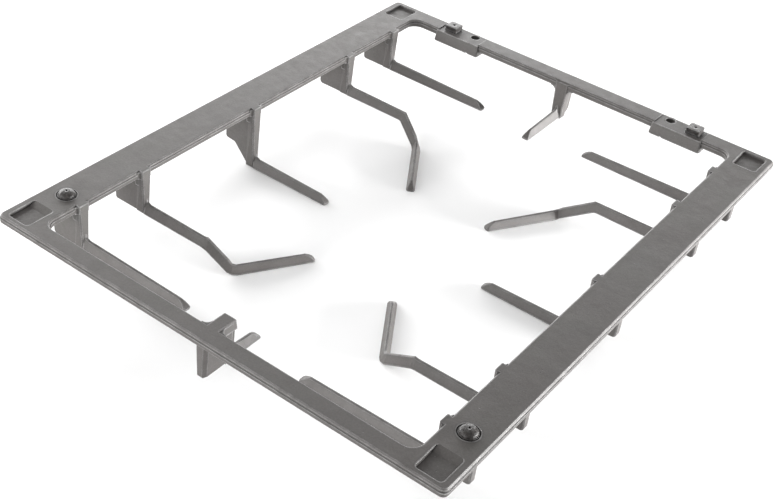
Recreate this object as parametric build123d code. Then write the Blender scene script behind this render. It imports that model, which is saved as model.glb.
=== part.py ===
from build123d import *
import os
from math import hypot, radians, sqrt, tan

# Pan support of a gas hob with one central burner, lying with its underside up.
# X runs across the part, Y from the near end bar to the far one, Z up.
# The flat faces of the six deep fingers lie at z = 0. Sizes are millimetres.

# Frame
LENGTH = 481.5
WIDTH = 385.0
BAR_THICKNESS = 7.4
SIDE_BAR_WIDTH = 32.8
NEAR_BAR_WIDTH = 15.4
FAR_BAR_WIDTH = 17.6
OUTER_CORNER_RADIUS = 4.5
INNER_CORNER_RADIUS = 9.0
PARTING_DEPTH = 2.6
PARTING_STEP = 0.5
BAR_DRAFT = 5.0
FACE_EDGE_BEVEL = 1.0
UNDER_EDGE_BEVEL = 1.4

# Levels
LOW_DROP = 39.0
END_DROP = 36.0
DEEP_DROP = 57.2
Z_FACE = DEEP_DROP
Z_LOW = Z_FACE - LOW_DROP
Z_END = Z_FACE - END_DROP

# Fingers, each a wedge with its wide flat face down and a narrow crest up
FINGER_BASE = 8.2
FINGER_CREST = 1.9
ROOT_HEIGHT = 8.8
TIP_HEIGHT = 6.8
CREST_EDGE = 0.45
BASE_EDGE = 0.8
TIP_SLANT = 7.5
TIP_EDGE = 1.4
TIP_ROUND = 2.0
BEND_RADIUS = 7.0

# Finger plan: lanes along Y, and tips and lower bends set out from the burner's centre
BURNER_X = -3.8
BURNER_Y = -2.2
OUTER_LANES = (-191.2, 189.8)
INNER_LANES = (-128.7, 124.4)
MIDDLE_LANE = -1.8
MIDDLE_TIP_RADIUS = 76.0
OUTER_TIP_X = 51.4
BENT_TIP_X = 37.5
BENT_TIP_Y = 63.6
BEND_HIGH_X = 96.8
BEND_DEEP_X = 71.5
BEND_DEEP_Y = 120.2
NEAR_TIP_Y = -180.5
FAR_TIP_Y = 170.2

# Legs under the inner edge of the bars, and the webs behind them
LEG_SET = 2.6
LEG_DEPTH = 8.0
LEG_TOP_THICKNESS = 9.8
LEG_FOOT_THICKNESS = 6.0
LEG_EDGE_BEVEL = 0.9
LUG_FILLET = 2.2
ROOT_BLEND = 4.0
WEB_TOP_THICKNESS = 7.0
WEB_FOOT_THICKNESS = 6.0
WEB_CORNER_RADIUS = 3.0
WEB_BEVEL = 0.8
LEFT_WEB_END_INSET = 4.0
RIGHT_WEB_END_INSET = 8.0
WEB_LAP = 1.0
WEB_SPLAY = 1.8
HAUNCH_RADIUS = 7.0
DEEP_WEB_STEP = 1.0
DEEP_WEB_LEVEL = 10.0

# Stub roots on the end bars: a long lug on the near one, a wide flare on the far one
END_WEB_TOP_THICKNESS = 11.4
END_WEB_FOOT_THICKNESS = 8.6
END_WEB_INSET = 2.2
END_WEB_BEVEL = 2.4
NEAR_LEG_THICKNESS = 9.4
NEAR_LUG_REACH = 16.4
NEAR_LUG_WIDTH = 10.4
NEAR_LUG_DRAFT = 7.0
NEAR_LUG_CORNER = 1.0
NEAR_LUG_BEVEL = 0.7
NEAR_LUG_OVERHANG = 0.5
NEAR_LUG_FILLET = 5.0
FAR_LEG_THICKNESS = 12.6
FAR_LEG_FOOT_THICKNESS = 9.6
FAR_LEG_SET = 0.6
FAR_FLARE_RADIUS = 5.5
FAR_CORNER_RADIUS = 9.0

# Pads on the far bar, with a hole and a seat for a square foot in each
PAD_CENTRE_X = 111.3
PAD_LENGTH = 48.0
PAD_DEPTH = 11.6
PAD_REACH = 20.4
PAD_DRAFT = 8.0
PAD_CORNER_RADIUS = 2.5
PAD_UNDER_BEVEL = 1.0
PAD_RECESS = 0.6
PAD_NOTCH_X = 99.0
PAD_NOTCH_RADIUS = 1.2
HOLE_X = 99.6
HOLE_RADIUS = 4.1
HOLE_EDGE_DISTANCE = 5.9
SQUARE_SEAT_X = 122.6
SQUARE_SEAT_EDGE_DISTANCE = 7.4
SQUARE_SEAT = 13.4
SQUARE_SEAT_CORNER = 1.4
SEAT_DEPTH = 1.6
SQUARE_FOOT_CLEARANCE = 0.5
SQUARE_FOOT_CORNER = 1.2
SQUARE_FOOT_CHAMFER = 1.0
FOOT_PROUD = 3.8

# Round feet and the corner pockets, set out from the outer edges of the frame
ROUND_FOOT_SIDE_DISTANCE = 17.1
ROUND_FOOT_END_DISTANCE = 49.6
ROUND_SEAT_DIAMETER = 15.2
ROUND_FOOT_CLEARANCE = 0.5
ROUND_FOOT_RIM = 0.5
ROUND_FOOT_LEAN = 1.4
ROUND_FOOT_CHAMFER = 1.2
DIMPLE_RADIUS = 1.3
DIMPLE_DEPTH = 0.9
PLUG_DIAMETER = 5.0
PLUG_LENGTH = 3.6
PLUG_CLEARANCE = 0.04
POCKET_SIDE_DISTANCE = 16.0
POCKET_END_DISTANCE = 17.2
POCKET_WIDTH = 20.0
POCKET_LENGTH = 24.8
POCKET_DEPTH = 2.2
POCKET_RADIUS = 2.8
POCKET_DRAFT = 12.0
POCKET_RAMP = 6.0

INNER_X = WIDTH / 2 - SIDE_BAR_WIDTH
INNER_NEAR_Y = NEAR_BAR_WIDTH - LENGTH / 2
INNER_FAR_Y = LENGTH / 2 - FAR_BAR_WIDTH


def bar_frame():
    """Flat rectangular frame: a drafted lower part and an upper part set back by a step."""
    lower_height = BAR_THICKNESS - PARTING_DEPTH
    outline = RectangleRounded(WIDTH, LENGTH, OUTER_CORNER_RADIUS)
    span = INNER_FAR_Y - INNER_NEAR_Y
    middle = Pos(0, (INNER_FAR_Y + INNER_NEAR_Y) / 2)
    opening = middle * RectangleRounded(2 * INNER_X, span, INNER_CORNER_RADIUS)
    lower = extrude(outline, -lower_height, taper=BAR_DRAFT)
    lower -= extrude(opening, -lower_height, taper=-BAR_DRAFT)
    lower = chamfer(lower.faces().sort_by(Axis.Z)[0].edges(), UNDER_EDGE_BEVEL)
    inset = 2 * PARTING_STEP
    slim_outline = RectangleRounded(WIDTH - inset, LENGTH - inset, OUTER_CORNER_RADIUS)
    slim_opening = middle * RectangleRounded(
        2 * INNER_X + inset, span + inset, INNER_CORNER_RADIUS
    )
    upper = extrude(slim_outline - slim_opening, PARTING_DEPTH)
    upper = chamfer(upper.faces().sort_by(Axis.Z)[-1].edges(), FACE_EDGE_BEVEL)
    return Pos(0, 0, Z_FACE - PARTING_DEPTH) * (lower + upper)


def wedge_face(point, tangent, height, full_height, base):
    """Upright section of a finger, cut off level at the given height."""
    flat = hypot(tangent.X, tangent.Y)
    lift = 1 / flat
    top = base - (base - FINGER_CREST) * height / full_height
    outline = Polygon(
        (-base / 2, 0),
        (base / 2, 0),
        (top / 2, height * lift),
        (-top / 2, height * lift),
        align=None,
    )
    crest = outline.vertices().group_by(Axis.Y)[-1]
    outline = chamfer(crest, min(CREST_EDGE, 0.3 * height))
    foot = outline.vertices().group_by(Axis.Y)[0]
    outline = chamfer(foot, min(BASE_EDGE, 0.3 * height))
    plane = Plane(
        origin=point,
        x_dir=(-tangent.Y / flat, tangent.X / flat, 0),
        z_dir=(tangent.X / flat, tangent.Y / flat, 0),
    )
    return plane * outline


def finger_size(distance, length):
    """Height, full height and base width of the wedge at a distance along the finger."""
    slope = (ROOT_HEIGHT - TIP_HEIGHT) / length
    full = ROOT_HEIGHT - slope * distance
    blend = max(0.0, ROOT_BLEND - distance)
    rise = ROOT_BLEND - sqrt(ROOT_BLEND**2 - min(blend, ROOT_BLEND) ** 2)
    left = length - distance
    if left >= TIP_SLANT:
        return full + rise, full + rise, FINGER_BASE
    height = full - (full - TIP_EDGE) * (1 - left / TIP_SLANT) ** 1.4
    short = max(0.0, TIP_ROUND - left)
    base = FINGER_BASE - 2 * (TIP_ROUND - sqrt(TIP_ROUND**2 - short**2))
    return height, full, base


def finger(points):
    """Finger along a path of points, root first, with rounded bends."""
    if len(points) > 2:
        path = FilletPolyline(*points, radius=BEND_RADIUS)
    else:
        path = Line(*points)
    length = path.length
    stops = [0.0, 0.25 * ROOT_BLEND, ROOT_BLEND]
    travelled = 0.0
    for edge in path.edges():
        if edge.geom_type == GeomType.CIRCLE:
            stops += [travelled, travelled + edge.length / 2, travelled + edge.length]
        travelled += edge.length
    stops += [length - TIP_SLANT, length - 0.6 * TIP_SLANT, length - TIP_ROUND]
    stops += [length - 0.3 * TIP_ROUND, length]
    sections = []
    for stop in stops:
        place = path.position_at(stop / length)
        heading = path.tangent_at(stop / length)
        sections.append(wedge_face(place, heading, *finger_size(stop, length)))
    return loft(sections, ruled=True)


def leg(drop, thickness, foot_thickness, back_thickness):
    """Leg with its end face at x = 0, narrowing to its foot and towards the web behind it."""
    plan = Polygon(
        (-LEG_DEPTH, -back_thickness / 2),
        (0, -thickness / 2),
        (0, thickness / 2),
        (-LEG_DEPTH, back_thickness / 2),
        align=None,
    )
    front = drafted_section(thickness, foot_thickness, drop)
    body = extrude(plan, drop) & extrude(Plane.YZ * front, LEG_DEPTH, both=True)
    corners = body.edges().filter_by(lambda edge: edge.center().X > -0.01)
    return chamfer(corners.filter_by(lambda edge: edge.length > drop / 2), LEG_EDGE_BEVEL)


def drafted_section(top_thickness, foot_thickness, drop):
    """Front view of a leg or web, thicker at the bar than at the foot."""
    return Polygon(
        (-foot_thickness / 2, 0),
        (foot_thickness / 2, 0),
        (top_thickness / 2, drop),
        (-top_thickness / 2, drop),
        align=None,
    )


def web(profile, top_thickness, foot_thickness, drop, under_bevel):
    """Upright plate in the X-Z plane, thinner at the foot, with bevelled lower edges."""
    section = drafted_section(top_thickness, foot_thickness, drop)
    plate = extrude(Plane.XZ * profile, top_thickness, both=True)
    plate &= extrude(Plane.YZ * section, SIDE_BAR_WIDTH * 2, both=True)
    under = plate.faces().filter_by(lambda face: face.normal_at().Z < -0.3)
    sides = ShapeList(
        edge for edge in under.edges() if abs(edge.center().Y) > 0.4 * foot_thickness
    )
    return chamfer(sides, under_bevel)


def low_web_profile(back, drop, corner_radius):
    """Side view of a web that stays at one level; x = 0 is the leg's end face."""
    outline = Polygon(
        (-LEG_DEPTH / 2, 0), (-back, 0), (-back, drop), (-LEG_DEPTH / 2, drop), align=None
    )
    corner = outline.vertices().group_by(Axis.Y)[0].sort_by(Axis.X)[0]
    return fillet(corner, corner_radius)


def deep_web_profile(back, drop):
    """Side view of the web of a deep finger, sloping down to the finger."""
    shelf = drop - LOW_DROP - DEEP_WEB_STEP
    outline = Polygon(
        (-LEG_DEPTH / 2, 0),
        (-LEG_DEPTH + 1.5, 0),
        (-back + DEEP_WEB_LEVEL, shelf),
        (-back, shelf + 1.0),
        (-back, drop),
        (-LEG_DEPTH / 2, drop),
        align=None,
    )
    corners = outline.vertices().filter_by(
        lambda vertex: vertex.X < -LEG_DEPTH / 2 - 0.1 and vertex.Y < drop - 1
    )
    return fillet(corners, WEB_CORNER_RADIUS)


def flared(thickness, radius):
    """Section of a rib that widens with two concave rounds into a face at y = 0."""
    reach = thickness / 2 + radius
    outline = Polygon(
        (reach, 0.5), (-reach, 0.5), (-reach, 0), (-thickness / 2, -radius),
        (thickness / 2, -radius), (reach, 0), align=None,
    )
    bites = [Pos(side * reach, -radius) * Circle(radius) for side in (-1, 1)]
    return outline - bites


def under_flare(drop, thickness, radius, start, end):
    """Concave rounds between the sides of a web and the underside of the bar."""
    rib = extrude(Plane.YZ * flared(thickness, radius), end - start)
    return Pos(start, 0, drop - BAR_THICKNESS) * rib


def under_splay(drop, thickness, start, end):
    """Straight splay between the sides of a web and the underside of the bar."""
    reach = thickness / 2 + WEB_SPLAY
    section = Polygon(
        (-thickness / 2, -WEB_SPLAY),
        (thickness / 2, -WEB_SPLAY),
        (reach, 0),
        (reach, 0.5),
        (-reach, 0.5),
        (-reach, 0),
        align=None,
    )
    return Pos(start, 0, drop - BAR_THICKNESS) * extrude(Plane.YZ * section, end - start)


def plan_fillets(drop, thickness, radius, x):
    """Rounds in plan where a lug or leg runs out of the side of the bar at x."""
    rib = extrude(flared(thickness, radius), BAR_THICKNESS - 1.2)
    return Pos(x, 0, drop - BAR_THICKNESS + 0.6) * Rot(0, 0, 90) * rib


def haunch(drop):
    """Concave corner between the back of a leg and the underside of the bar."""
    reach = LEG_DEPTH + HAUNCH_RADIUS
    ledge = drop - BAR_THICKNESS
    block = Polygon(
        (-LEG_DEPTH / 2, ledge + 1),
        (-LEG_DEPTH / 2, ledge - HAUNCH_RADIUS),
        (-LEG_DEPTH, ledge - HAUNCH_RADIUS),
        (-reach, ledge),
        (-reach, ledge + 1),
        align=None,
    )
    bite = Pos(-reach, ledge - HAUNCH_RADIUS) * Circle(HAUNCH_RADIUS)
    thickness = WEB_TOP_THICKNESS + 1.4
    return extrude(Plane.XZ * (block - bite), thickness / 2, both=True)


def side_root(drop, profile, back):
    """Leg, web and blends of a finger on a side bar."""
    body = leg(drop, LEG_TOP_THICKNESS, LEG_FOOT_THICKNESS, WEB_TOP_THICKNESS - 0.8)
    body += web(profile, WEB_TOP_THICKNESS, WEB_FOOT_THICKNESS, drop, WEB_BEVEL)
    body += haunch(drop)
    body += under_splay(drop, WEB_TOP_THICKNESS - 0.2, -back, -LEG_DEPTH)
    return body + plan_fillets(drop, LEG_TOP_THICKNESS - 0.6, LUG_FILLET, -LEG_SET)


def left_fingers(centre_x, web_end_inset):
    """The five fingers of the left side bar, for a burner centred at this x."""
    face_x = LEG_SET - INNER_X
    back = WIDTH / 2 + face_x - web_end_inset
    low_profile = low_web_profile(back, LOW_DROP - WEB_LAP, WEB_CORNER_RADIUS)
    low_root = side_root(LOW_DROP, low_profile, back)
    deep_root = side_root(DEEP_DROP, deep_web_profile(back, DEEP_DROP - WEB_LAP), back)
    body = Pos(face_x, MIDDLE_LANE, 0) * deep_root
    tip_x = centre_x - MIDDLE_TIP_RADIUS
    body += finger([(face_x, MIDDLE_LANE, 0), (tip_x, MIDDLE_LANE, 0)])
    for lane in OUTER_LANES:
        body += Pos(face_x, lane, Z_LOW) * low_root
        body += finger([(face_x, lane, Z_LOW), (centre_x - OUTER_TIP_X, lane, Z_LOW)])
    for side, lane in zip((-1, 1), INNER_LANES):
        body += Pos(face_x, lane, Z_LOW) * low_root
        body += finger(
            [
                (face_x, lane, Z_LOW),
                (-BEND_HIGH_X, lane, Z_LOW),
                (centre_x - BEND_DEEP_X, BURNER_Y + side * BEND_DEEP_Y, 0),
                (centre_x - BENT_TIP_X, BURNER_Y + side * BENT_TIP_Y, 0),
            ]
        )
    return body


def end_web(back, corner_radius):
    """Web of a stub, as thick as its leg."""
    profile = low_web_profile(back, END_DROP - WEB_LAP, corner_radius)
    return web(
        profile, END_WEB_TOP_THICKNESS, END_WEB_FOOT_THICKNESS, END_DROP, END_WEB_BEVEL
    )


def near_lug():
    """Lug that carries the near leg clear of the bar, wider at its foot than at its face."""
    foot_width = NEAR_LUG_WIDTH + 2 * BAR_THICKNESS * tan(radians(NEAR_LUG_DRAFT))
    reach = NEAR_LUG_REACH + NEAR_BAR_WIDTH / 2
    outline = chamfer(Rectangle(reach, foot_width).vertices(), NEAR_LUG_CORNER)
    block = extrude(outline, BAR_THICKNESS, taper=NEAR_LUG_DRAFT)
    block = chamfer(block.faces().sort_by(Axis.Z)[-1].edges(), NEAR_LUG_BEVEL)
    return Pos(NEAR_LUG_OVERHANG - reach / 2, 0, 0) * block


def near_stub():
    """Short finger of the near end bar with its lug, leg and web."""
    face_y = INNER_NEAR_Y + NEAR_LUG_REACH
    back = NEAR_LUG_REACH + NEAR_BAR_WIDTH - END_WEB_INSET
    body = leg(
        END_DROP - 1, NEAR_LEG_THICKNESS, LEG_FOOT_THICKNESS + 1, NEAR_LEG_THICKNESS - 0.6
    )
    body += end_web(back, WEB_CORNER_RADIUS)
    body += Pos(0, 0, END_DROP - BAR_THICKNESS) * near_lug()
    body += plan_fillets(END_DROP, NEAR_LUG_WIDTH + 0.8, NEAR_LUG_FILLET, -NEAR_LUG_REACH)
    body += finger([(0, 0, 0), (NEAR_TIP_Y - face_y, 0, 0)])
    return Pos(0, face_y, Z_END) * Rot(0, 0, 90) * body


def far_stub():
    """Short finger of the far end bar, its leg flared into the bar."""
    face_y = INNER_FAR_Y - FAR_LEG_SET
    back = FAR_LEG_SET + FAR_BAR_WIDTH - END_WEB_INSET
    body = leg(
        END_DROP - 1, FAR_LEG_THICKNESS, FAR_LEG_FOOT_THICKNESS, FAR_LEG_THICKNESS - 0.6
    )
    body += end_web(back, FAR_CORNER_RADIUS)
    body += under_flare(
        END_DROP, END_WEB_TOP_THICKNESS - 0.4, FAR_FLARE_RADIUS, 2.4 - back, -FAR_LEG_SET - 0.6
    )
    body += finger([(0, 0, 0), (face_y - FAR_TIP_Y, 0, 0)])
    return Pos(0, face_y, Z_END) * Rot(0, 0, -90) * body


def far_pad():
    """Thick pad on the far bar, right-hand one."""
    depth = PAD_DEPTH - PAD_RECESS
    edge = LENGTH / 2 - PARTING_STEP
    outline = RectangleRounded(PAD_LENGTH, 2 * PAD_REACH, PAD_CORNER_RADIUS)
    block = extrude(outline, depth, taper=PAD_DRAFT)
    block = chamfer(block.faces().sort_by(Axis.Z)[0].edges(), PAD_UNDER_BEVEL)
    block = Pos(PAD_CENTRE_X, LENGTH / 2, Z_FACE - PAD_DEPTH) * block
    block -= Pos(PAD_CENTRE_X, edge, Z_FACE) * Box(
        2 * PAD_LENGTH, PAD_REACH * 2, 4 * PAD_DEPTH, align=(Align.CENTER, Align.MIN, Align.CENTER)
    )
    notch = Pos(PAD_NOTCH_X, 0, Z_FACE - PAD_DEPTH) * Rot(90, 0, 0) * Cylinder(
        PAD_NOTCH_RADIUS, 2 * LENGTH
    )
    boss = Pos(HOLE_X, LENGTH / 2 - HOLE_EDGE_DISTANCE, Z_FACE - PAD_DEPTH)
    boss *= extrude(Circle(HOLE_EDGE_DISTANCE), depth)
    return block + boss - notch


def cut_square(width, corner):
    """Square with its corners cut off at 45 degrees."""
    return chamfer(Rectangle(width, width).vertices(), corner)


def pad_cuts():
    """Recess, hole and foot seat of the right-hand pad."""
    top = Pos(PAD_CENTRE_X, LENGTH / 2, Z_FACE) * Box(
        PAD_LENGTH - 2 * PAD_CORNER_RADIUS, 2 * PAD_REACH, 2 * PAD_RECESS
    )
    hole = Pos(HOLE_X, LENGTH / 2 - HOLE_EDGE_DISTANCE, Z_FACE - PAD_DEPTH / 2) * Cylinder(
        HOLE_RADIUS, PAD_DEPTH * 2
    )
    floor = Z_FACE - PAD_RECESS - SEAT_DEPTH
    seat_y = LENGTH / 2 - SQUARE_SEAT_EDGE_DISTANCE
    seat = extrude(cut_square(SQUARE_SEAT, SQUARE_SEAT_CORNER), SEAT_DEPTH * 2)
    return top + hole + Pos(SQUARE_SEAT_X, seat_y, floor) * (seat + plug_hole())


def pocket(ramped):
    """Shallow drafted pocket; a ramped one rises towards +Y."""
    outline = RectangleRounded(POCKET_WIDTH, POCKET_LENGTH, POCKET_RADIUS)
    recess = extrude(outline, -POCKET_DEPTH, taper=POCKET_DRAFT)
    if ramped:
        end = POCKET_LENGTH / 2
        wedge = Polygon(
            (end, 0), (end, -POCKET_DEPTH), (end - POCKET_RAMP, -POCKET_DEPTH), align=None
        )
        recess -= extrude(Plane.YZ * wedge, POCKET_WIDTH, both=True)
    return recess + extrude(outline, POCKET_DEPTH)


def plug_hole():
    """Blind hole for the plug of a foot, below z = 0."""
    return extrude(Circle(PLUG_DIAMETER / 2 + PLUG_CLEARANCE), -PLUG_LENGTH - PLUG_CLEARANCE)


def corner_cuts():
    """Near and far pockets and the round foot's seat, on the right side bar."""
    pocket_x = WIDTH / 2 - POCKET_SIDE_DISTANCE
    pocket_y = LENGTH / 2 - POCKET_END_DISTANCE
    cuts = Pos(pocket_x, -pocket_y, Z_FACE) * pocket(True)
    cuts += Pos(pocket_x, pocket_y, Z_FACE) * pocket(False)
    seat = extrude(Circle(ROUND_SEAT_DIAMETER / 2), SEAT_DEPTH * 2) + plug_hole()
    return cuts + round_foot_place() * seat


def round_foot_place():
    """Middle of the seat of the near right foot."""
    x = WIDTH / 2 - ROUND_FOOT_SIDE_DISTANCE
    y = ROUND_FOOT_END_DISTANCE - LENGTH / 2
    return Pos(x, y, Z_FACE - SEAT_DEPTH)


def square_foot_place():
    """Middle of the seat of the far right foot."""
    y = LENGTH / 2 - SQUARE_SEAT_EDGE_DISTANCE
    return Pos(SQUARE_SEAT_X, y, Z_FACE - PAD_RECESS - SEAT_DEPTH)


def both_sides(shape):
    """A shape and its mirror image across the middle of the part."""
    return shape + mirror(shape, Plane.YZ)


def casting():
    """The whole iron casting."""
    body = bar_frame() + left_fingers(BURNER_X, LEFT_WEB_END_INSET)
    body += mirror(left_fingers(-BURNER_X, RIGHT_WEB_END_INSET), Plane.YZ)
    body += near_stub() + far_stub() + both_sides(far_pad())
    return body - both_sides(pad_cuts() + corner_cuts())


def with_plug_and_dimple(shape, height):
    """Add the plug that holds a foot in the casting, and the dimple in its top."""
    dimple = Pos(0, 0, height) * Cylinder(DIMPLE_RADIUS, 2 * DIMPLE_DEPTH)
    return shape + extrude(Circle(PLUG_DIAMETER / 2), -PLUG_LENGTH) - dimple


def round_foot():
    """Round foot with a rim at its seat and a leaning side; its seat is at z = 0."""
    radius = (ROUND_SEAT_DIAMETER - 2 * ROUND_FOOT_CLEARANCE) / 2
    height = SEAT_DEPTH + FOOT_PROUD
    section = Polygon(
        (0, 0),
        (radius, 0),
        (radius, SEAT_DEPTH + ROUND_FOOT_RIM),
        (radius - ROUND_FOOT_LEAN, height - ROUND_FOOT_CHAMFER),
        (radius - ROUND_FOOT_LEAN - ROUND_FOOT_CHAMFER, height),
        (0, height),
        align=None,
    )
    return with_plug_and_dimple(revolve(Plane.XZ * section, Axis.Z), height)


def square_foot():
    """Square foot with chamfered edges; its seat is at z = 0."""
    height = SEAT_DEPTH + PAD_RECESS + FOOT_PROUD
    width = SQUARE_SEAT - 2 * SQUARE_FOOT_CLEARANCE
    block = extrude(cut_square(width, SQUARE_FOOT_CORNER), height)
    block = chamfer(block.faces().sort_by(Axis.Z)[-1].edges(), SQUARE_FOOT_CHAMFER)
    return with_plug_and_dimple(block, height)


os.makedirs("parts", exist_ok=True)
export_step(casting(), "parts/grate_casting.step")
for name, foot in (
    ("round_foot", round_foot_place() * round_foot()),
    ("square_foot", square_foot_place() * square_foot()),
):
    export_step(foot, f"parts/{name}_right.step")
    export_step(mirror(foot, Plane.YZ), f"parts/{name}_left.step")
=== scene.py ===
import math

import bmesh
import bpy
from mathutils import Matrix, Vector


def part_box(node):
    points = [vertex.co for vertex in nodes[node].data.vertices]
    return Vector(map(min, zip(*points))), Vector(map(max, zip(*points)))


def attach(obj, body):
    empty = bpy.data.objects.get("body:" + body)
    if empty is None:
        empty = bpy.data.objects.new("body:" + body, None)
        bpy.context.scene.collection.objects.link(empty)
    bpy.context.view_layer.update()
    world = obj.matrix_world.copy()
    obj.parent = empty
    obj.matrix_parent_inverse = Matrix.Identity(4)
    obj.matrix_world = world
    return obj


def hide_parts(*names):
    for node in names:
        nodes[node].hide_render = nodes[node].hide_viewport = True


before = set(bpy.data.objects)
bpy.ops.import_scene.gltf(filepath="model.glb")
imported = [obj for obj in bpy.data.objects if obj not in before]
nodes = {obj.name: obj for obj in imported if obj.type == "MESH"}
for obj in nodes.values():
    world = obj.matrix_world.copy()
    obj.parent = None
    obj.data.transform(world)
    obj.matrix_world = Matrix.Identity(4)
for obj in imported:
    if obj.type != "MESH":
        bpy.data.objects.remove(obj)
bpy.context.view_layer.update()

MM = 0.001

# The photo's camera, fitted to the frame's outer edges: metres, degrees, mm
CAMERA_PLACE = (0.4157, -0.6946, 0.6059)
CAMERA_AZIMUTH = 33.8385
CAMERA_ELEVATION = 37.3172
CAMERA_ROLL = 6.2815
CAMERA_LENS = 59.494
CAMERA_SENSOR = 36.0
CAMERA_SHIFT_X = 0.0441
CAMERA_CLIP_START = 0.05

# Just under the part, so that no two faces share a plane
FLOOR_HEIGHT = -0.1 * MM
FLOOR_HALF_SIZE = 6.0
FLOOR_SQUARES = 8

WORLD_STRENGTH = 0.30
PART_MIDDLE = (0.0, 0.0, 0.03)
FLOOR_MIDDLE = (0.0, 0.0, 0.0)
# Name, place, aim, size, power in watts
LIGHTS = (
    ("side", (1.4, 0.75, 0.13), PART_MIDDLE, (1.0, 0.26), 88.0),
    ("front", (-0.5, -1.6, 0.26), PART_MIDDLE, (2.2, 0.5), 35.0),
    ("edges", (-0.7, -1.0, 1.05), PART_MIDDLE, (0.5, 0.5), 4.0),
    ("back", (-0.95, 1.5, 0.42), PART_MIDDLE, (1.8, 0.6), 36.0),
    ("left", (-1.6, 0.1, 0.4), PART_MIDDLE, (1.4, 0.7), 36.0),
    ("above", (0.0, -0.2, 1.8), FLOOR_MIDDLE, (2.2, 2.2), 5.0),
)

# Radius of the edges' rounding, which the shader draws
IRON_ROUNDING = 0.5 * MM
RUBBER_ROUNDING = 0.25 * MM
# Rays per point for rounding, edges and creases
SHADING_SAMPLES = 6

# Feet, in mm, heights from the casting's face
PLUG_RADIUS = 2.5
PLUG_DEPTH = 3.6
ROUND_FOOT_HEIGHT = 5.4
SQUARE_FOOT_HEIGHT = 6.0
DOME_RADIUS = 6.2
DOME_BASE = 1.6
DOME_RISE = 3.8
# Below 1 the dome is fuller than half an ellipse
DOME_WIDTH_POWER = 0.86
DOME_RISE_POWER = 0.9
DOME_STEPS = 14
DOME_DEGREES_PER_STEP = 6
# Half width, corner radius, height; bottom to top
SQUARE_FOOT_RINGS = (
    # plug
    (PLUG_RADIUS, PLUG_RADIUS, -PLUG_DEPTH),
    (PLUG_RADIUS, PLUG_RADIUS, 0.0),
    # flange
    (5.9, 1.3, 0.0),
    (6.1, 1.5, 0.2),
    (6.12, 1.5, 2.2),
    (5.95, 1.4, 2.4),
    # block
    (5.9, 1.4, 2.6),
    (5.94, 1.4, 3.6),
    (5.98, 1.4, 4.6),
    (6.02, 1.4, 5.6),
    (6.0, 1.4, 5.72),
    (5.9, 1.3, 5.93),
    (5.7, 1.2, SQUARE_FOOT_HEIGHT),
    (3.0, 1.0, SQUARE_FOOT_HEIGHT),
    # mould dimple
    (1.2, 1.1, SQUARE_FOOT_HEIGHT),
    (1.0, 0.95, 5.92),
    (0.85, 0.8, 5.3),
    (0.4, 0.4, 5.1),
)
QUARTER_POINTS = 24
# Points nearer than this are made one, in metres
SAME_POINT = 0.001 * MM


# Camera

def camera_turn(azimuth, elevation, roll):
    """Rotation of a camera that looks back at the part from this direction."""
    a, e, r = (math.radians(angle) for angle in (azimuth, elevation, roll))
    back = Vector(
        (math.sin(a) * math.cos(e), -math.cos(a) * math.cos(e), math.sin(e))
    )
    right = (-back).cross(Vector((0, 0, 1))).normalized()
    up = right.cross(-back)
    level = Matrix((right, up, back)).transposed()
    return level @ Matrix.Rotation(r, 3, "Z")


def add_camera():
    data = bpy.data.cameras.new("camera")
    data.sensor_width = CAMERA_SENSOR
    data.lens = CAMERA_LENS
    data.shift_x = CAMERA_SHIFT_X
    data.clip_start = CAMERA_CLIP_START
    camera = bpy.data.objects.new("camera", data)
    turn = camera_turn(CAMERA_AZIMUTH, CAMERA_ELEVATION, CAMERA_ROLL)
    camera.matrix_world = Matrix.Translation(CAMERA_PLACE) @ turn.to_4x4()
    bpy.context.scene.collection.objects.link(camera)
    bpy.context.scene.camera = camera


# Materials

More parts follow.
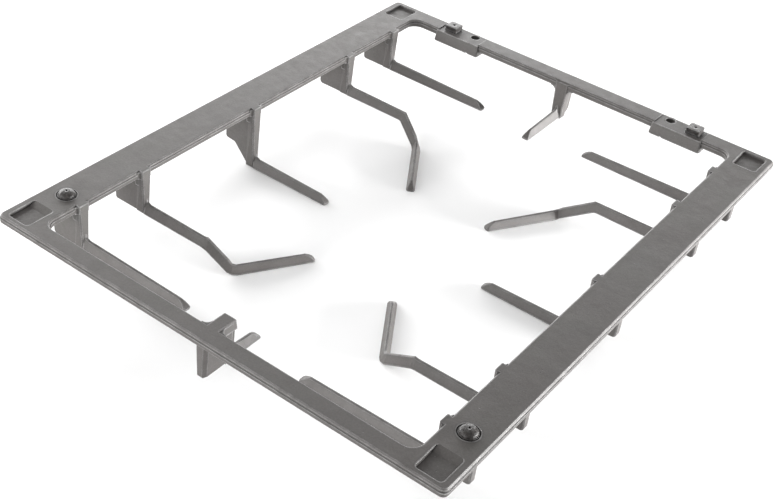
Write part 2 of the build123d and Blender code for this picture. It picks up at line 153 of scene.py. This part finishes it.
class Graph:
    """Short way to write a material's nodes. Scales are in cycles per metre."""

    def __init__(self, name):
        self.material = bpy.data.materials.new(name)
        self.material.use_nodes = True
        self.tree = self.material.node_tree
        self.shader = self.tree.nodes["Principled BSDF"]
        self.place = self.add("TexCoord").outputs["Object"]

    def add(self, kind, inputs=None, **settings):
        made = self.tree.nodes.new("ShaderNode" + kind)
        for key, value in settings.items():
            setattr(made, key, value)
        for key, value in (inputs or {}).items():
            self.put(made.inputs[key], value)
        return made

    def put(self, socket, value):
        if isinstance(value, bpy.types.NodeSocket):
            self.tree.links.new(value, socket)
        else:
            socket.default_value = value

    def noise(self, scale, detail=3.0, roughness=0.5, warp=0.0):
        made = self.add(
            "TexNoise",
            {
                "Vector": self.place,
                "Scale": scale,
                "Detail": detail,
                "Roughness": roughness,
                "Distortion": warp,
            },
        )
        return made.outputs["Fac"]

    def cells(self, scale):
        made = self.add("TexVoronoi", {"Vector": self.place, "Scale": scale})
        return made.outputs["Distance"]

    def ramp(self, value, low, high, start=0.0, end=1.0):
        """From start to end while the value goes from low to high."""
        made = self.add(
            "MapRange",
            {
                "Value": value,
                "From Min": low,
                "From Max": high,
                "To Min": start,
                "To Max": end,
            },
        )
        return made.outputs["Result"]

    def math(self, operation, a, b):
        return self.add("Math", {0: a, 1: b}, operation=operation).outputs[0]

    def times(self, a, b):
        return self.math("MULTIPLY", a, b)

    def blend(self, factor, a, b, kind="MIX"):
        # A Mix node has a set of sockets for each data type: 6 and 7 are colours
        made = self.add("Mix", data_type="RGBA", blend_type=kind)
        self.put(made.inputs[0], factor)
        self.put(made.inputs[6], a)
        self.put(made.inputs[7], b)
        return made.outputs[2]

    def darken(self, colour, factor):
        return self.blend(1.0, colour, factor, "MULTIPLY")

    def soft_normal(self, radius):
        made = self.add("Bevel", {"Radius": radius}, samples=SHADING_SAMPLES)
        return made.outputs["Normal"]

    def occlusion(self, distance, inside):
        made = self.add(
            "AmbientOcclusion",
            {"Distance": distance},
            samples=SHADING_SAMPLES,
            inside=inside,
        )
        return made.outputs["AO"]

    def convex(self, distance):
        """High on an outer edge, near 0 on a flat or in a corner."""
        return self.math("SUBTRACT", 1.0, self.occlusion(distance, inside=True))

    def open_to_air(self, distance):
        """Near 1 on a flat or an outer edge, low in a corner or groove."""
        return self.occlusion(distance, inside=False)

    def bump(self, height, distance, normal):
        made = self.add(
            "Bump", {"Height": height, "Distance": distance, "Normal": normal}
        )
        return made.outputs["Normal"]


def grey(value, warmth=0.0):
    """Colour with alpha; warmth adds red and takes away blue."""
    return (value * (1 + warmth), value, value * (1 - 0.5 * warmth), 1.0)


IRON_BROWN = grey(0.057, 0.13)
IRON_GREY = grey(0.070, 0.075)
IRON_PALE = grey(0.076, 0.09)
IRON_OLIVE = (0.072, 0.070, 0.063, 1.0)
IRON_PIT = grey(0.036)
IRON_FLECK = grey(0.26, 0.02)
IRON_EDGE_SHADE = grey(0.028, 0.04)
IRON_WEAR_AND_HIGHLIGHT = grey(0.33, 0.02)
RUBBER_BLACK = grey(0.010, 0.10)
RUBBER_BROWN = grey(0.038, 0.12)
RUBBER_DUST_AND_TOP_LIGHT = grey(0.160, 0.03)
RUBBER_SMEAR = grey(0.10, 0.04)
RUBBER_RUB_AND_HIGHLIGHT = grey(0.22, 0.02)
FLOOR_TONES = (grey(0.93), grey(0.95))


def enamelled_iron():
    g = Graph("enamelled_iron")
    soft = g.soft_normal(IRON_ROUNDING)

    # Patches of tone, from a hand's width down to a speckle
    large = g.ramp(g.noise(11.0, 2.0), 0.36, 0.64)
    middle = g.ramp(g.noise(48.0, 4.0, 0.6, 0.4), 0.34, 0.7)
    colour = g.blend(large, IRON_BROWN, IRON_GREY)
    colour = g.blend(middle, colour, IRON_PALE)
    tint = g.ramp(g.noise(23.0, 3.0, 0.6), 0.47, 0.74, end=0.6)
    colour = g.blend(tint, colour, IRON_OLIVE)
    speckle = g.ramp(g.noise(700.0, 4.0, 0.7), 0.3, 0.75, start=0.84, end=1.16)
    colour = g.darken(colour, speckle)

    # Dark pits and pale flecks, both in scattered groups
    pits = g.ramp(g.cells(420.0), 0.05, 0.16, start=1.0, end=0.0)
    pits = g.times(pits, g.ramp(g.noise(70.0, 2.0), 0.56, 0.66))
    colour = g.blend(g.times(pits, 0.5), colour, IRON_PIT)
    flecks = g.ramp(g.cells(190.0), 0.03, 0.07, start=1.0, end=0.0)
    flecks = g.times(flecks, g.ramp(g.noise(37.0, 2.0), 0.55, 0.6))
    colour = g.blend(g.times(flecks, 0.6), colour, IRON_FLECK)

    # Outer edges: a dark band of painted shade, and a pale broken line that is partly
    # worn enamel and partly painted highlight
    painted_edge_shade = g.times(g.ramp(g.convex(2.4 * MM), 0.04, 0.13), 0.38)
    colour = g.blend(painted_edge_shade, colour, IRON_EDGE_SHADE)
    broken = g.ramp(g.noise(90.0, 5.0, 0.7), 0.36, 0.62, start=0.2)
    # Pale line on outer edges: partly worn enamel, partly painted highlight; the worn
    # part is also smoother
    wear_and_highlight = g.times(g.ramp(g.convex(1.1 * MM), 0.08, 0.18), broken)
    colour = g.blend(g.times(wear_and_highlight, 0.6), colour, IRON_WEAR_AND_HIGHLIGHT)

    # Painted shade in the corners, wide and faint, then narrow and dark
    shade = g.ramp(g.open_to_air(6.0 * MM), 0.35, 0.95, start=0.8)
    colour = g.darken(colour, shade)
    crease_shade = g.ramp(g.open_to_air(1.2 * MM), 0.45, 0.9, start=0.45)
    colour = g.darken(colour, crease_shade)
    g.put(g.shader.inputs["Base Color"], colour)

    rough = g.ramp(g.noise(160.0, 4.0, 0.6), 0.3, 0.7, start=0.50, end=0.62)
    rough = g.math("SUBTRACT", rough, g.times(wear_and_highlight, 0.10))
    g.put(g.shader.inputs["Roughness"], rough)

    grain = g.noise(1300.0, 2.0, 0.6)
    peel = g.noise(330.0, 3.0, 0.55)
    waves = g.noise(45.0, 2.0)
    normal = g.bump(waves, 0.4 * MM, soft)
    normal = g.bump(peel, 0.09 * MM, normal)
    normal = g.bump(g.math("SUBTRACT", 1.0, pits), 0.25 * MM, normal)
    normal = g.bump(grain, 0.06 * MM, normal)
    g.put(g.shader.inputs["Normal"], normal)
    return g.material


def moulded_rubber(name, dust_and_top_light_level):
    g = Graph(name)
    soft = g.soft_normal(RUBBER_ROUNDING)
    patch = g.ramp(g.noise(420.0, 4.0, 0.6), 0.35, 0.68)
    colour = g.blend(patch, RUBBER_BLACK, RUBBER_BROWN)

    # Lighter on what faces up: partly dust, partly painted light from above
    up = g.ramp(g.add("SeparateXYZ", {0: soft}).outputs["Z"], 0.90, 0.99)
    dust_and_top_light = g.ramp(g.noise(620.0, 5.0, 0.7, 0.6), 0.34, 0.60, start=0.15)
    dust_and_top_light = g.times(g.times(up, dust_and_top_light), dust_and_top_light_level)
    colour = g.blend(dust_and_top_light, colour, RUBBER_DUST_AND_TOP_LIGHT)

    smear = g.ramp(g.noise(260.0, 4.0, 0.7, 1.2), 0.55, 0.72, end=0.35)
    colour = g.blend(smear, colour, RUBBER_SMEAR)
    # Lighter outer edges: partly rubbed rubber, partly painted highlight
    rub_and_highlight = g.times(g.ramp(g.convex(0.4 * MM), 0.35, 0.7), 0.6)
    colour = g.blend(rub_and_highlight, colour, RUBBER_RUB_AND_HIGHLIGHT)
    # Painted shade in grooves, corners and the dimple
    shade = g.ramp(g.open_to_air(2.2 * MM), 0.35, 0.9, start=0.15)
    colour = g.darken(colour, shade)
    g.put(g.shader.inputs["Base Color"], colour)
    g.shader.inputs["Specular IOR Level"].default_value = 0.25
    g.shader.inputs["Sheen Weight"].default_value = 0.12
    g.shader.inputs["Sheen Roughness"].default_value = 0.35

    rough = g.ramp(g.noise(700.0, 4.0, 0.6), 0.3, 0.7, start=0.32, end=0.48)
    rough = g.math("ADD", rough, g.times(dust_and_top_light, 0.12))
    g.put(g.shader.inputs["Roughness"], rough)

    normal = g.bump(g.noise(420.0, 3.0, 0.6), 0.5 * MM, soft)
    normal = g.bump(g.noise(1900.0, 3.0), 0.08 * MM, normal)
    g.put(g.shader.inputs["Normal"], normal)
    return g.material


def pale_floor():
    g = Graph("pale_floor")
    tone = g.ramp(g.noise(1.5, 2.0), 0.3, 0.7)
    g.put(g.shader.inputs["Base Color"], g.blend(tone, *FLOOR_TONES))
    g.shader.inputs["Roughness"].default_value = 0.9
    return g.material


def dress(piece, material):
    piece.data.materials.clear()
    piece.data.materials.append(material)


# Mesh helpers

def new_piece(name, mesh, material):
    piece = bpy.data.objects.new(name, mesh)
    bpy.context.scene.collection.objects.link(piece)
    dress(piece, material)
    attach(piece, "root")
    return piece


def mesh_from(made, name):
    mesh = bpy.data.meshes.new(name)
    made.to_mesh(mesh)
    made.free()
    return mesh


def outline_points(half, corner, height, base):
    """Closed ring on a rounded square; a circle where corner equals half."""
    points = []
    for quarter, (sx, sy) in enumerate(((1, 1), (-1, 1), (-1, -1), (1, -1))):
        cx, cy = sx * (half - corner), sy * (half - corner)
        for step in range(QUARTER_POINTS):
            angle = math.radians(90 * (quarter + step / (QUARTER_POINTS - 1)))
            x = cx + corner * math.cos(angle)
            y = cy + corner * math.sin(angle)
            points.append(base + Vector((x * MM, y * MM, height * MM)))
    return points


def stacked(name, rings, base):
    """Closed mesh through rings of (half width, corner radius, height) in mm.

    The rings go from bottom to top, and their heights are above the base.
    """
    made = bmesh.new()
    layers = [
        [made.verts.new(point) for point in outline_points(*ring, base)]
        for ring in rings
    ]
    for lower, upper in zip(layers, layers[1:]):
        for i in range(len(lower)):
            j = (i + 1) % len(lower)
            made.faces.new((lower[i], lower[j], upper[j], upper[i]))
    made.faces.new(list(reversed(layers[0])))
    made.faces.new(layers[-1])
    bmesh.ops.remove_doubles(made, verts=made.verts, dist=SAME_POINT)
    mesh = mesh_from(made, name)
    mesh.shade_smooth()
    return mesh


def arc(cx, cz, radius, start, end, steps):
    """Points (radius from the axis, height) on an arc of the side view."""
    angles = [math.radians(start + (end - start) * i / steps) for i in range(steps + 1)]
    return [(cx + radius * math.cos(a), cz + radius * math.sin(a)) for a in angles]


# Feet

def foot_base(box, height):
    """The point on the casting's face under the middle of a foot's top."""
    low, high = box
    middle_x, middle_y = (low[0] + high[0]) / 2, (low[1] + high[1]) / 2
    return Vector((middle_x, middle_y, high[2] - height * MM))


def round_foot_profile():
    """Points (radius, height above the casting) in mm, bottom to top."""
    plug = [(PLUG_RADIUS, -PLUG_DEPTH), (PLUG_RADIUS, 0.0)]
    flange = [(6.55, 0.0), (6.75, 0.2), (6.8, 1.5)]
    flange += arc(6.5, 1.5, 0.3, 0, 90, 4) + [(6.3, 1.72), (6.2, 1.78)]
    dome = []
    for step in range(1, DOME_STEPS + 1):
        turn = math.radians(DOME_DEGREES_PER_STEP * step)
        radius = DOME_RADIUS * math.cos(turn) ** DOME_WIDTH_POWER
        height = DOME_BASE + DOME_RISE * math.sin(turn) ** DOME_RISE_POWER
        dome.append((radius, height))
    dimple = arc(0.95, 5.14, 0.2, 80, 180, 4) + [(0.72, 4.4), (0.4, 4.2)]
    return plug + flange + dome + dimple


def round_foot(side, material):
    base = foot_base(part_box(f"round_foot_{side}"), ROUND_FOOT_HEIGHT)
    rings = [(radius, radius, height) for radius, height in round_foot_profile()]
    name = f"round_foot_{side}_moulding"
    piece = new_piece(name, stacked(name, rings, base), material)
    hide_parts(f"round_foot_{side}")


def square_foot(side, material):
    base = foot_base(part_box(f"square_foot_{side}"), SQUARE_FOOT_HEIGHT)
    name = f"square_foot_{side}_moulding"
    mesh = stacked(name, SQUARE_FOOT_RINGS, base)
    piece = new_piece(name, mesh, material)
    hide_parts(f"square_foot_{side}")


# Stage

def add_floor():
    made = bmesh.new()
    bmesh.ops.create_grid(
        made, x_segments=FLOOR_SQUARES, y_segments=FLOOR_SQUARES, size=FLOOR_HALF_SIZE
    )
    floor = bpy.data.objects.new("floor", mesh_from(made, "floor"))
    floor.location.z = FLOOR_HEIGHT
    bpy.context.scene.collection.objects.link(floor)
    dress(floor, pale_floor())


def add_area(name, place, aim, size, power):
    data = bpy.data.lights.new(name, "AREA")
    data.shape = "RECTANGLE"
    data.size, data.size_y = size
    data.energy = power
    light = bpy.data.objects.new(name, data)
    light.location = place
    direction = Vector(aim) - Vector(place)
    light.rotation_euler = direction.to_track_quat("-Z", "Y").to_euler()
    bpy.context.scene.collection.objects.link(light)


def add_lights():
    world = bpy.data.worlds.new("studio")
    world.use_nodes = True
    background = world.node_tree.nodes["Background"]
    background.inputs["Color"].default_value = (1.0, 1.0, 1.0, 1.0)
    background.inputs["Strength"].default_value = WORLD_STRENGTH
    bpy.context.scene.world = world
    for light in LIGHTS:
        add_area(*light)
    bpy.context.scene.view_settings.view_transform = "Standard"
    bpy.context.scene.view_settings.look = "None"


add_camera()
add_floor()
add_lights()
dress(nodes["grate_casting"], enamelled_iron())
dark_rubber = moulded_rubber("dark_rubber", dust_and_top_light_level=0.35)
rubber_with_dust_and_top_light = moulded_rubber("rubber_with_dust_and_top_light", dust_and_top_light_level=1.0)
for side in ("left", "right"):
    round_foot(side, dark_rubber)
    square_foot(side, rubber_with_dust_and_top_light)
